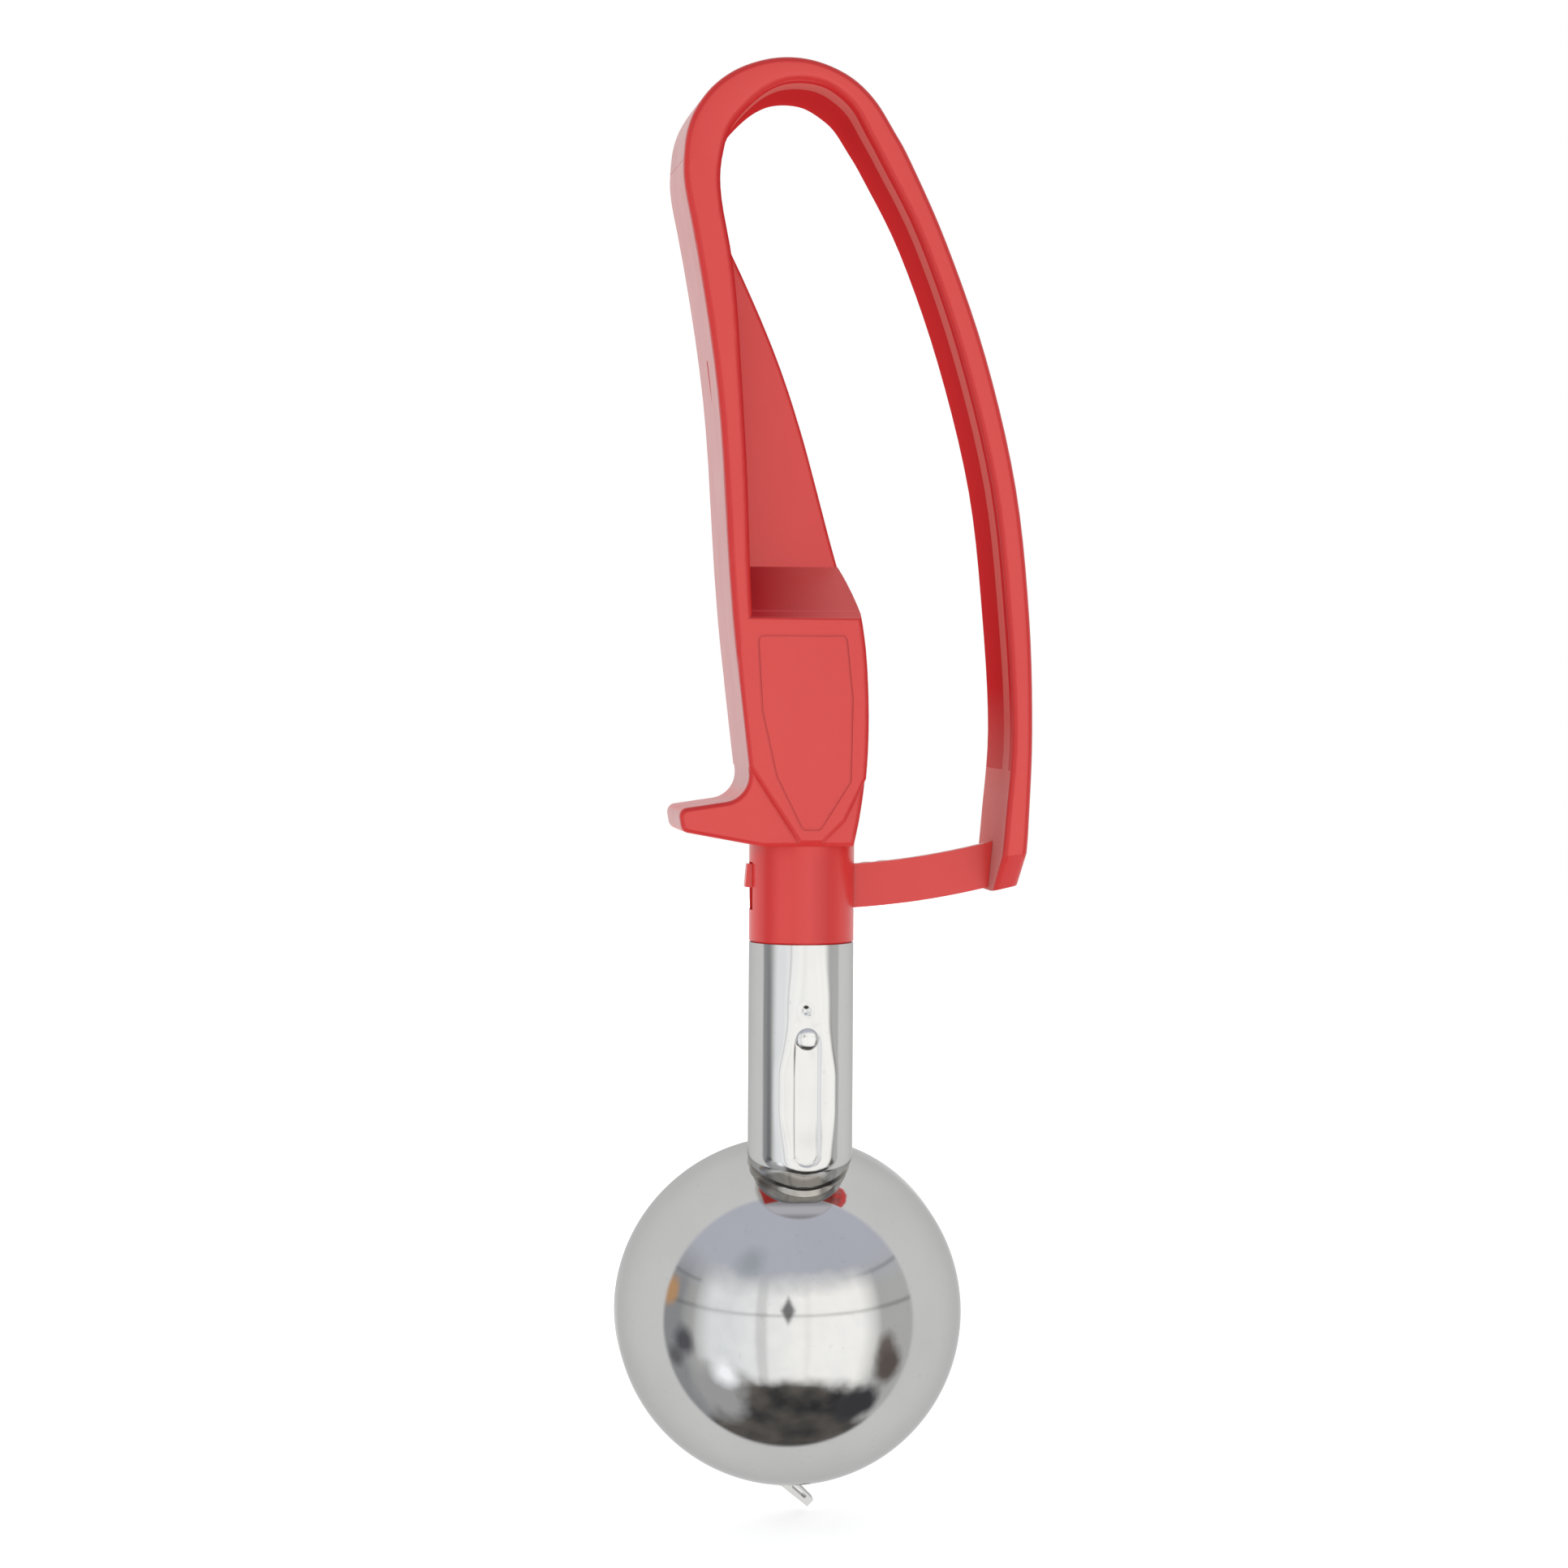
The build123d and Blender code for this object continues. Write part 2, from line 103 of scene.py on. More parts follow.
class Wire:
    def __init__(self, tree, socket=None):
        self.tree = tree
        self.socket = socket

    def node(self, kind, settings=None, inputs=None, out=0):
        """Any node: its settings are set first, then the values or links of its sockets."""
        made = self.tree.nodes.new(kind)
        for key, value in (settings or {}).items():
            setattr(made, key, value)
        for key, value in (inputs or {}).items():
            plug(self.tree, made.inputs[key], value)
        return Wire(self.tree, made.outputs[out])

    def maths(self, operation, a, b=0.0, clamp=False):
        """One Math node."""
        return self.node("ShaderNodeMath", {"operation": operation, "use_clamp": clamp}, {0: a, 1: b})

    def __add__(self, other):
        return self.maths("ADD", self, other)

    def __radd__(self, other):
        return self.maths("ADD", other, self)

    def __sub__(self, other):
        return self.maths("SUBTRACT", self, other)

    def __rsub__(self, other):
        return self.maths("SUBTRACT", other, self)

    def __mul__(self, other):
        return self.maths("MULTIPLY", self, other)

    def __rmul__(self, other):
        return self.maths("MULTIPLY", other, self)

    def __truediv__(self, other):
        return self.maths("DIVIDE", self, other)

    def size(self):
        """The value without its sign."""
        return self.maths("ABSOLUTE", self)

    def clamp(self):
        """The value kept between 0 and 1."""
        return self.maths("ADD", self, 0.0, True)

    def step(self, edge, soft):
        """0 below the edge, 1 above it, with a soft ramp of the given width."""
        return ((self - edge) / soft + 0.5).clamp()

    def band(self, low, high, soft):
        """1 between two values, 0 outside them."""
        return self.step(low, soft) * (1 - self.step(high, soft))

    def blend(self, a, b):
        """Mix colour a to colour b by this mask."""
        return self.node("ShaderNodeMix", {"data_type": "RGBA"}, {"Factor": self, 6: a, 7: b}, 2)

    def noise(self, scale, detail=3.0, stretch=(1, 1, 1)):
        """Smooth noise from 0 to 1 at this position, stretched by axis."""
        spot = self.node("ShaderNodeMapping", None, {"Vector": self, "Scale": stretch})
        return self.node("ShaderNodeTexNoise", None, {"Vector": spot, "Scale": scale, "Detail": detail})

    def split(self):
        """The three parts of a position or a direction."""
        parts = self.node("ShaderNodeSeparateXYZ", None, {0: self}).socket.node.outputs
        return [Wire(self.tree, part) for part in parts]

    def bump(self, strength, distance):
        """A Normal from this height."""
        height = {"Strength": strength, "Distance": distance, "Height": self}
        return self.node("ShaderNodeBump", None, height)


# %% Finish: a material with one principled shader
def finish(name, **constants):
    """A new material. Returns it, a wire of object coordinates and a function that sets the shader."""
    material = bpy.data.materials.new(name)
    material.use_nodes = True
    tree = material.node_tree
    shader = tree.nodes["Principled BSDF"]
    place = Wire(tree).node("ShaderNodeTexCoord", None, None, "Object")

    def wear(**values):
        for key, value in values.items():
            plug(tree, shader.inputs[key.replace("_", " ")], value)

    wear(**constants)
    return material, place, wear


def colour(r, g, b):
    """A screen colour from 0 to 255 as the linear values that a shader takes."""
    def linear(c):
        c /= 255
        return c / 12.92 if c <= 0.04045 else ((c + 0.055) / 1.055) ** 2.4

    return (linear(r), linear(g), linear(b), 1.0)


print("shader helpers ready")

# %% [markdown]
# ## The studio
# Polished steel shows its surroundings more than itself, so the room is part of the finish. It is
# drawn in the world by direction, as a painter blocks in a background: first the ways of looking,
# then the walls, the window, and soft patches for what stands about. Behind the object everything
# is pale, which gives the bowl its light outer ring.

# %% Ways of looking
# The way the camera looks, as its parts to the east and to the north.
AHEAD_EAST, AHEAD_NORTH = 0.139, 0.990
world = bpy.data.worlds.new("studio")
bpy.context.scene.world = world
world.use_nodes = True
tree = world.node_tree
sky = Wire(tree)
direction = sky.node("ShaderNodeTexCoord", None, None, "Generated")
east, north, height = direction.split()
depth = north * AHEAD_NORTH + east * AHEAD_EAST
behind = depth.step(0.0, 0.05)
across = east * AHEAD_NORTH - north * AHEAD_EAST
column = across / sky.maths("MAXIMUM", depth * -1, 0.05)
aside = sky.maths("MINIMUM", column.size(), 4.0)
wobble = direction.noise(5.0, 3.0) - 0.5
cloudy = direction.noise(3.0, 3.0)
print("ways of looking ready")

# %% [markdown]
# In front of the object there are grey walls that grow bluer and paler towards the ceiling. Thin
# dark lines mark a shelf and the ceiling's edges, and the lower part is a dark, cloudy floor. A
# column is a place to the side of the camera, and a height is up or down, so each form is a band or
# a step of those.

# %% Walls, lines and dark floor
LINE = colour(90, 95, 95)
walls = column.step(-3.0, 2.4).blend(colour(146, 147, 150), colour(184, 184, 183))
walls = height.step(0.44, 0.30).blend(walls, colour(186, 188, 199))
walls = (height.band(0.098, 0.132, 0.02) * 0.45).blend(walls, LINE)
edge_right = column.step(0.9, 0.3) * height.band(0.440, 0.472, 0.015)
edge_left = (1 - column.step(-2.1, 0.4)) * height.band(0.342, 0.370, 0.015)
walls = ((edge_right + edge_left) * 0.40).blend(walls, LINE)
floor_edge = height + aside * 0.055 + wobble * 0.16
dark = cloudy.step(0.52, 0.40).blend(colour(52, 52, 54), colour(108, 103, 98))
walls = (1 - floor_edge.step(-0.60, 0.09)).blend(walls, dark)
print("walls drawn with", len(tree.nodes), "nodes")

# %% [markdown]
# The wide bright window has four panes: one upright frame and one rail divide it. The low sun makes
# part of it warmer than white. A small dark stand in the middle is what the camera rests on.

# %% Window and stand
SILL, STAND_HEIGHT = -0.60, 0.165
sill = (1 - column.step(-0.62, 0.4)) * 0.17 + SILL
window = column.band(-1.75, 1.62, 0.95) * (height + wobble * 0.12 - sill).step(0.0, 0.12)
window = window * (1 - (height + wobble * 0.16).step(0.43, 0.26))
frames = (1 - column.band(-0.39, -0.25, 0.05) * 0.45) * (1 - height.band(0.092, 0.124, 0.02) * 0.50)
frames = frames * (1 - column.band(0.19, 0.27, 0.05) * 0.12)
sun = (column.step(-0.30, 0.9) * 0.7 + direction.noise(6.0, 1.0) * 0.5).clamp()
panes = sun.blend((0.78, 0.81, 0.85, 1), (1.08, 1.07, 1.05, 1))
room = (window * frames).blend(walls, panes)
stand = column.size() * 1.9 + (height - STAND_HEIGHT).size()
room = ((1 - (stand + wobble * 0.05).step(0.15, 0.09)) * 0.85).blend(room, colour(62, 64, 66))
print("window drawn with", len(tree.nodes), "nodes")

# %% [markdown]
# Each patch is a soft ragged spot in one direction: things on the floor, a paler corner, a lamp.
# The last nodes give the camera itself a white background, and make mirror reflections a little
# brighter than the light that the room throws, because steel looks brighter than the walls beside
# it.

# %% Patches and light paths
patches = [
    # direction to the patch, its size, its softness, its colour
    ((-0.964, -0.144, -0.225), 0.12, 0.12, colour(88, 88, 94)),
    ((-0.932, 0.021, -0.362), 0.08, 0.08, colour(104, 104, 108)),
    ((-0.659, -0.300, -0.690), 0.26, 0.20, colour(165, 165, 166)),
    ((-0.694, -0.499, -0.519), 0.13, 0.14, (1.10, 1.12, 1.16, 1)),
    ((0.837, -0.464, -0.290), 0.13, 0.12, colour(112, 104, 100)),
    ((0.831, -0.367, -0.418), 0.16, 0.12, colour(96, 88, 84)),
    ((0.542, -0.364, -0.757), 0.20, 0.12, colour(62, 62, 66)),
    ((-0.493, -0.606, 0.624), 0.15, 0.16, colour(164, 170, 178)),
    ((-0.979, 0.099, 0.177), 0.12, 0.08, colour(190, 150, 112)),
]
for toward, size, soft, paint in patches:
    distance = sky.node(
        "ShaderNodeVectorMath", {"operation": "DISTANCE"}, {0: direction, 1: toward}, "Value"
    )
    room = (1 - (distance + wobble * size).step(size, soft)).blend(room, paint)
surround = behind.blend(room, colour(212, 212, 212))
seen = sky.node("ShaderNodeLightPath", None, None, "Is Camera Ray")
mirrored = sky.node("ShaderNodeLightPath", None, None, "Is Glossy Ray")
surround = seen.blend(surround, (1.0, 1.0, 1.0, 1.0))
plug(tree, tree.nodes["Background"].inputs["Strength"], 1.0 + mirrored * 0.28)
plug(tree, tree.nodes["Background"].inputs["Color"], surround)
bpy.context.scene.view_settings.view_transform = "Standard"
print("room drawn with", len(tree.nodes), "nodes")

# %% [markdown]
# The floor is a plain pale disc just under the object. It and the soft lights stay out of mirror
# reflections, so the steel shows only the room. The key light in front and below lifts the red.

# %% Floor and soft lights
bpy.ops.object.select_all(action="DESELECT")
bpy.ops.mesh.primitive_circle_add(
    vertices=96, radius=1.6, fill_type="NGON", location=(0, 0, cad_box[0].z - 0.0005)
)
floor = bpy.context.object
floor.name = "floor"
floor.visible_glossy = False
paint, place, wear = finish("pale_floor", Roughness=0.9)
grain = place.noise(60.0, 2.0)
wear(Base_Color=grain.blend((0.80, 0.80, 0.80, 1), (0.84, 0.84, 0.84, 1)))
wear(Emission_Color=(1, 1, 1, 1), Emission_Strength=0.55)
floor.data.materials.append(paint)


def soft_light(name, place, size, power):
    """A square soft light aimed at the middle of the object, kept out of mirror reflections."""
    lamp = bpy.data.lights.new(name, "AREA")
    lamp.size = size
    lamp.energy = power
    lit = bpy.data.objects.new(name, lamp)
    bpy.context.scene.collection.objects.link(lit)
    lit.location = place
    lit.rotation_euler = (Vector((0, 0, -0.1)) - Vector(place)).to_track_quat("-Z", "Y").to_euler()
    lit.visible_glossy = False
    print(name, power, "W")


soft_light("key", (0.25, -1.3, -0.45), 0.9, 7)
soft_light("fill_left", (-1.1, 0.2, 0.3), 0.8, 3)
soft_light("fill_back", (0.5, 1.2, 0.2), 0.8, 5)

# %% [markdown]
# ## Red moulding
# The handle is a satin nylon moulding. Real mouldings aren't one flat red: the tone drifts a little
# with the flow of the plastic, the skin has a fine grain, and handling leaves dull rubs. Three
# noises at different sizes do that, feeding colour, roughness and a very low bump. Masks made from
# the surface's own direction paint light and shade into the colour: a deeper red as painted shade
# on rounded edges and in bands on the collar, a painted grey-pink reflection on the outer flank,
# and on the ramp above the block a painted shade by the bar that pales to a painted highlight.

# %% Red moulding
COLLAR = (-0.1280, -0.1125)
RAMP = (-0.0787, -0.0700)
SKIN_SCALE, SKIN_HEIGHT = 2600.0, 0.00008
# The deep red painted as shade on rounded edges and in bands on the collar.
PAINTED_SHADE_RED = colour(196, 26, 28)
red, place, wear = finish("red_moulding", IOR=1.48, Coat_Roughness=0.18, Coat_IOR=1.6)
across, depth, height = place.split()
facing = place.node("ShaderNodeTexCoord", None, None, "Normal").split()
flow = place.noise(45.0, 4.0, (1, 1, 0.35))
rub = place.noise(160.0, 5.0, (1, 1, 0.5))
skin = place.noise(SKIN_SCALE, 2.0)
tone = (flow * 1.6 - 0.3).clamp().blend(colour(209, 46, 43), colour(219, 59, 53))
# Painted shade: darker bands on the collar, where it mirrors the dark sides of the room.
collar_shade_bands = facing[0].band(-0.91, -0.63, 0.22) + facing[0].band(0.13, 0.48, 0.26)
collar = height.band(*COLLAR, 0.004) * (1 - across.size().step(0.012, 0.002))
tone = (collar_shade_bands * collar * 0.7).blend(tone, PAINTED_SHADE_RED)
# Painted shade: a deeper red on the rounded edges, which mirror dark surroundings.
edge = facing[1].size().band(0.35, 0.965, 0.05) * (1 - collar)
tone = (edge * 0.65).blend(tone, PAINTED_SHADE_RED)
# Painted reflection: the outer flank is paled towards grey pink, the room seen at a grazing angle.
flank = (facing[0] * -1).step(0.85, 0.2) * (1 - collar)
tone = (flank * 0.45).blend(tone, colour(150, 110, 110))
# Painted shade and highlight: the ramp is dark red next to the bar and pales to a painted highlight
# towards its right.
ramp = facing[2].step(0.5, 0.2) * height.band(*RAMP, 0.0004)
ramp_shade_and_highlight = across.step(-0.0015, 0.013).blend(colour(176, 28, 34), colour(219, 100, 96))
wear(Base_Color=ramp.blend(tone, ramp_shade_and_highlight))
wear(Roughness=0.34 + (rub - 0.5) * 0.16)
wear(Coat_Weight=facing[0].size().step(0.75, 0.35) * 0.20 + 0.22 - edge * 0.20)
wear(Normal=(skin * 0.6 + flow * 4.0).bump(0.12, SKIN_HEIGHT))
print("red_moulding:", len(red.node_tree.nodes), "nodes")

# %% [markdown]
# Inside the loop the mould leaves the skin dull, almost without gloss, and its red is drawn darker as
# painted shade. On the bar that is the same piece as the glossy front, so a matte shader is mixed in
# on the wall that faces the loop.

# %% Matte wall inside the loop
# The darker inner tones are painted shade on the wall that faces into the loop.
INNER_SHADE_TONES = (colour(192, 44, 46), colour(200, 50, 52))
WALL_X, WALL_FOOT = -0.0095, -0.070
matte = place.node("ShaderNodeBsdfPrincipled", None, {
    "Base Color": flow.blend(*INNER_SHADE_TONES), "Roughness": 0.6, "Specular IOR Level": 0.0,
})
glossy = Wire(red.node_tree, red.node_tree.nodes["Principled BSDF"].outputs[0])
dull_side = facing[0].step(0.6, 0.3) * (1 - across.step(WALL_X, 0.001)) * height.step(WALL_FOOT, 0.004)
skins = place.node("ShaderNodeMixShader", None, {0: dull_side, 1: glossy, 2: matte})
plug(red.node_tree, red.node_tree.nodes["Material Output"].inputs["Surface"], skins)
print("red_moulding with its matte wall:", len(red.node_tree.nodes), "nodes")

# %% [markdown]
# The bow and the lever have the same dull inner wall, in the darker red of painted shade, and along
# it runs a paler land, where the parts of the mould close. Both turn paler below the lever's foot.
# They differ only in their numbers, so one function makes both.

# %% Dull inner red and the paler land
def dull_red(name, grain, tones, below_foot_colour, foot, rough, strength):
    """A red without gloss that drifts between two tones and turns paler below its foot's height."""
    material, place, wear = finish(name, IOR=1.48, Specular_IOR_Level=0.0)
    flow = place.noise(grain[0], 4.0, (1, 1, grain[1]))
    below_foot = 1 - place.split()[2].step(*foot)
    wear(Base_Color=below_foot.blend(flow.blend(*tones), below_foot_colour), Roughness=rough[0] + flow * rough[1])
    wear(Normal=place.noise(SKIN_SCALE, 2.0).bump(strength, SKIN_HEIGHT))
    print(name + ":", len(material.node_tree.nodes), "nodes")
    return material


# Its darker tones are painted shade, as on the bar's inner wall.
inner_red = dull_red(
    "inner_red_moulding", grain=(45.0, 0.35), tones=INNER_SHADE_TONES, below_foot_colour=colour(196, 98, 96),
    foot=(-0.0955, 0.014), rough=(0.55, 0.1), strength=0.12,
)
pale_red = dull_red(
    "pale_parting_land", grain=(60.0, 0.3), tones=(colour(212, 100, 94), colour(202, 104, 98)),
    below_foot_colour=colour(206, 132, 128), foot=(-0.0985, 0.012), rough=(0.50, 0.12), strength=0.15,
)

# %% [markdown]
# ## Steels
# The tube and the bowl are polished stainless steel that has been used: fine scratches run round
# the bowl and along the tube, and soft smudges dull it in places. Roughness carries most of that,
# because a mirror shows wear as haze. A slow sway in the bump makes reflections run a little
# crooked, as they do on drawn metal. In front of the neck a darker brownish patch is partly the
# stain that brazing heat leaves and partly a painted dark reflection of the tube's end in the bowl,
# with one painted highlight streak in it.

# %% Polished steel
STAIN_SHADE_X, STAIN_SHADE_Z = -0.0012, -0.1643
STAIN_SHADE_WIDE, STAIN_SHADE_HIGH = 0.0062, 0.0037
HIGHLIGHT_STREAK = (-0.1673, -0.1661)
SCRATCH_HEIGHT = 0.00002


def tint(base, r, g, b):
    """The steel's own grey, with each colour taken at a share."""
    return (base * r, base * g, base * b, 1)


def steel(name, base, rough, haze, scratch, stretch, wave=0.0, stain_and_shade=0.0):
    """Steel of a given grey: roughness and haze, scratches and their stretch, sway, and a heat stain
    with painted reflection.
    """
    material, place, wear = finish(name, Metallic=1.0, Specular_Tint=(0.72, 0.72, 0.72, 1))
    across, depth, height = place.split()
    smudge = place.noise(70.0, 4.0)
    speck = place.noise(900.0, 3.0)
    lines = place.noise(700.0, 4.0, stretch)
    sway = place.noise(130.0, 2.0, (1, 1, 0.2))
    front = 1 - depth.step(0.004, 0.01)
    away = (across - STAIN_SHADE_X) / STAIN_SHADE_WIDE
    below = (height - STAIN_SHADE_Z) / STAIN_SHADE_HIGH
    # Partly heat stain, partly a painted dark reflection of the tube's end mirrored in the bowl.
    stain_and_shade_mask = (1 - (away * away + below * below).step(0.92, 0.18)) * front * stain_and_shade
    # Painted highlight: one bright streak across the patch.
    highlight_streak = stain_and_shade_mask * height.band(*HIGHLIGHT_STREAK, 0.0006)
    dull = (smudge * 2.2 - 0.85).clamp()
    shade = dull.blend(tint(base, 1, 1, 0.99), tint(base, 0.93, 0.93, 0.915))
    shade = (speck.step(0.70, 0.06) * 0.2).blend(shade, tint(base, 0.7, 0.7, 0.7))
    shade = stain_and_shade_mask.blend(shade, tint(base, 0.50, 0.47, 0.43))
    wear(Base_Color=highlight_streak.blend(shade, tint(base, 1.05, 1.02, 0.96)))
    wear(Roughness=rough + dull * haze + (speck - 0.5) * 0.05)
    wear(Normal=(lines + sway * wave).bump(scratch, SCRATCH_HEIGHT))
    print(name + ":", len(material.node_tree.nodes), "nodes")
    return material


tube_steel = steel("tube_steel", 0.645, 0.10, 0.07, 0.30, (1, 1, 0.04), wave=22.0, stain_and_shade=0.45)
bowl_steel = steel("bowl_steel", 0.625, 0.060, 0.05, 0.14, (0.15, 1, 1), wave=3.0, stain_and_shade=0.85)
satin_steel = steel("satin_steel", 0.58, 0.26, 0.10, 0.20, (1, 0.1, 1))
rivet_metal = steel("rivet_metal", 0.68, 0.16, 0.08, 0.12, (1, 1, 1))

# %% [markdown]
# The braze is a lumpy dull silver. Along its upper edge in front a dark line is painted shade, drawn
# where the bead faces upwards. The washer inside is natural nylon, a cloudy cream.

# %% Braze and nylon
SHADE_HALF_WIDTH = 0.0053
braze, place, wear = finish("silver_braze", Metallic=1.0)
lump = place.noise(900.0, 4.0)
# Painted shade: the bead's upward faces in front are drawn dark.
painted_top_shade = place.node("ShaderNodeTexCoord", None, None, "Normal").split()[2].step(0.42, 0.25)
painted_top_shade = painted_top_shade * (1 - place.split()[0].size().step(SHADE_HALF_WIDTH, 0.0024))
solder = lump.blend((0.46, 0.44, 0.41, 1), (0.34, 0.325, 0.30, 1))
wear(Base_Color=painted_top_shade.blend(solder, (0.07, 0.065, 0.06, 1)))
wear(Roughness=0.18 + lump * 0.2 + painted_top_shade * 0.2, Normal=lump.bump(0.35, 0.0001))

nylon, place, wear = finish("natural_nylon")
cloud = place.noise(500.0, 3.0)
wear(Base_Color=cloud.blend((0.80, 0.78, 0.70, 1), (0.86, 0.85, 0.79, 1)))
wear(Roughness=0.45 + cloud * 0.15, Normal=cloud.bump(0.1, 0.00005))
print("braze and nylon ready")

# %% [markdown]
# ## Spring bow and squeeze lever
# On the real handle the bow and the lever are one springy ribbon, and it bends when the hand
# squeezes. Two separate solids would open a step at the joint, so they are replaced by one piece.
# It is drawn as by hand: a flat plate is set on the ribbon's foot and extruded from station to
# station, each time moved, turned and scaled to the next width. A smooth curve through a few
# measured crossings gives the stations between them.

# %% Stations along the ribbon
MM = 0.001
HALF_DEPTH = 10.0
TIP_TOP, TIP_END, TIP_HALF = -113.4, -120.2, 3.5
STEPS = 5
# Each row is a crossing of the ribbon: outer x, outer z, inner x, inner z.
crossings = [
    (-19.5, -11.0, -13.85, -11.0), (-19.1, -7.3, -13.1, -9.0), (-17.9, -3.9, -11.8, -6.6),
    (-15.4, -0.4, -10.0, -4.3), (-12.0, 2.2, -7.8, -2.2), (-8.1, 3.75, -5.9, -0.95),
    (-4.3, 4.35, -4.0, -0.25), (-0.5, 4.05, -1.6, -0.05), (3.2, 2.85, 0.9, -0.45),
    (6.4, 0.95, 3.3, -1.75), (9.3, -2.0, 5.5, -3.6), (11.9, -6.1, 7.6, -6.7),
    (14.5, -10.7, 10.1, -10.8), (20.0, -22.7, 15.9, -22.0), (26.0, -39.4, 22.0, -38.8),
    (30.7, -58.7, 27.0, -58.5), (32.9, -78.0, 29.3, -78.0), (33.5, -95.0, 30.3, -95.0),
    (33.1, -108.0, 29.4, -108.0), (32.8, -113.2, 28.9, -113.7), (32.4, -118.3, 28.4, -119.2),
]


def smooth(p, q, r, s, t):
    """A smooth curve's value between q and r, with p and s as their neighbours."""
    slope, bend, twist = r - p, 2 * p - 5 * q + 4 * r - s, 3 * q - p - 3 * r + s
    return 0.5 * (2 * q + slope * t + bend * t**2 + twist * t**3)


def through(rows, steps):
    """Smooth curve through rows of numbers, with a number of steps between neighbours."""
    padded = [rows[0]] + rows + [rows[-1]]
    points = []
    for four in zip(padded, padded[1:], padded[2:], padded[3:]):
        points += [[smooth(*values, k / steps) for values in zip(*four)] for k in range(steps)]
    return points + [list(rows[-1])]


def crossing(row):
    """Middle, width, depth and lean of the ribbon at one crossing."""
    outer = Vector((row[0], 0, row[1])) * MM
    inner = Vector((row[2], 0, row[3])) * MM
    across = inner - outer
    middle = (outer + inner) / 2
    taper = min(1, max(0, (TIP_TOP - middle.z / MM) / (TIP_TOP - TIP_END)))
    half = HALF_DEPTH + (TIP_HALF - HALF_DEPTH) * taper
    return middle, across.length, 2 * half * MM, math.atan2(-across.z, across.x)


rows = through(crossings, STEPS)
stations = [crossing(row) for row in rows]
widths = [round(station[1] / MM, 2) for station in stations]
print(len(stations), "stations from", widths[0], "to", widths[-1], "mm wide")

# %% [markdown]
# Three helpers serve every piece from here on. The frame leaves the CAD nodes selected, so each new
# piece starts by clearing the selection. Parts of a mesh are picked in code by their place, and a
# finished piece's place is put into its mesh.

# %% Helpers for shaping
def clear():
    """Deselect every object."""
    bpy.ops.object.select_all(action="DESELECT")


def pick(piece, kind, test):
    """In edit mode, select the vertices, edges or faces that pass a test."""
    bpy.ops.mesh.select_all(action="DESELECT")
    bpy.ops.object.mode_set(mode="OBJECT")
    for element in getattr(piece.data, kind):
        element.select = test(element)
    bpy.ops.object.mode_set(mode="EDIT")


def settle(piece):
    """Put the object's place into its mesh, so that its own coordinates are the shared frame's."""
    clear()
    piece.select_set(True)
    bpy.context.view_layer.objects.active = piece
    bpy.ops.object.transform_apply(location=True, rotation=True, scale=True)


print("helpers ready")

# %% Extrude the ribbon
clear()
middle, width, deep, lean = stations[0]
bpy.ops.mesh.primitive_plane_add(size=1, location=middle, rotation=(0, lean, 0))
ribbon = bpy.context.object
ribbon.name = "squeeze_loop"
ribbon.scale = (width, deep, 1)
settle(ribbon)
bpy.ops.object.mode_set(mode="EDIT")
bpy.ops.mesh.select_all(action="SELECT")
for old, new in zip(stations, stations[1:]):
    bpy.ops.mesh.extrude_region_move(TRANSFORM_OT_translate={"value": new[0] - old[0]})
    bpy.ops.transform.rotate(value=old[3] - new[3], orient_axis="Y", center_override=new[0])
    grow = new[1] / old[1]
    bpy.ops.transform.resize(value=(grow, new[2] / old[2], grow), center_override=new[0])
bpy.ops.mesh.select_all(action="SELECT")
bpy.ops.mesh.normals_make_consistent(inside=False)
bpy.ops.object.mode_set(mode="OBJECT")
print("ribbon:", len(ribbon.data.vertices), "corners")

# %% [markdown]
# A mould lets go of a deep part only if its walls lean a little, which is called draft. The bow's
# inner wall leans back towards the front, so its front corner is moved away from the loop. The
# draft grows in over the first stations and fades out where the lever begins.

# %% Give the bow its draft
DRAFT = 0.9
GROWN, FADING, FADED = 12, 42, 62


def ease(t):
    """A smooth step from 0 to 1."""
    t = min(1, max(0, t))
    return t * t * (3 - 2 * t)


for k, row in enumerate(rows):
    draft = DRAFT * ease(k / GROWN) * (1 - ease((k - FADING) / (FADED - FADING)))
    outward = Vector((row[0] - row[2], 0, row[1] - row[3])).normalized()
    front = [v for v in ribbon.data.vertices[4 * k:4 * k + 4] if v.co.y < 0]
    inner = min(front, key=lambda v: (v.co - Vector((row[2], v.co.y / MM, row[3])) * MM).length)
    inner.co += outward * draft * MM
ends = [v.co for v in ribbon.data.vertices][-4:]
print("ribbon end corners (mm):", [tuple(round(c / MM, 1) for c in p) for p in ends])

# %% [markdown]
# The ribbon's corners are rounded as the mould leaves them, with one bevel along its four long
# edges. A moulding has a land where the parts of the mould close. Two cuts on each side of it let
# that band on the inside of the loop stand a tenth of a millimetre proud, and it takes a paler,
# duller finish.

# %% Round the ribbon and raise its parting land
LAND = (-8.4, -4.0)
LAND_SHOULDER, LAND_HEIGHT = 0.25, 0.10
LAND_FOOT, BAR_X = -101, -13
EDGE_ROUND = 1.0
LOOP_MIDDLE = Vector((5.0, 0.0, -60.0)) * MM


def long_edge(edge):
    """An edge that joins two stations: each station added four corners in a row."""
    return edge.vertices[0] // 4 != edge.vertices[1] // 4


def inside(face):
    """The ribbon's walls that face the inside of the loop."""
    return face.normal.dot(LOOP_MIDDLE - face.center) > 0 and abs(face.normal.y) < 0.5


def pale(face):
    """The land on the inside of the loop, and all of the inner wall near the lever's foot."""
    band = LAND[0] * MM < face.center.y < LAND[1] * MM
    return inside(face) and (band or face.center.z < LAND_FOOT * MM) and face.center.x > BAR_X * MM


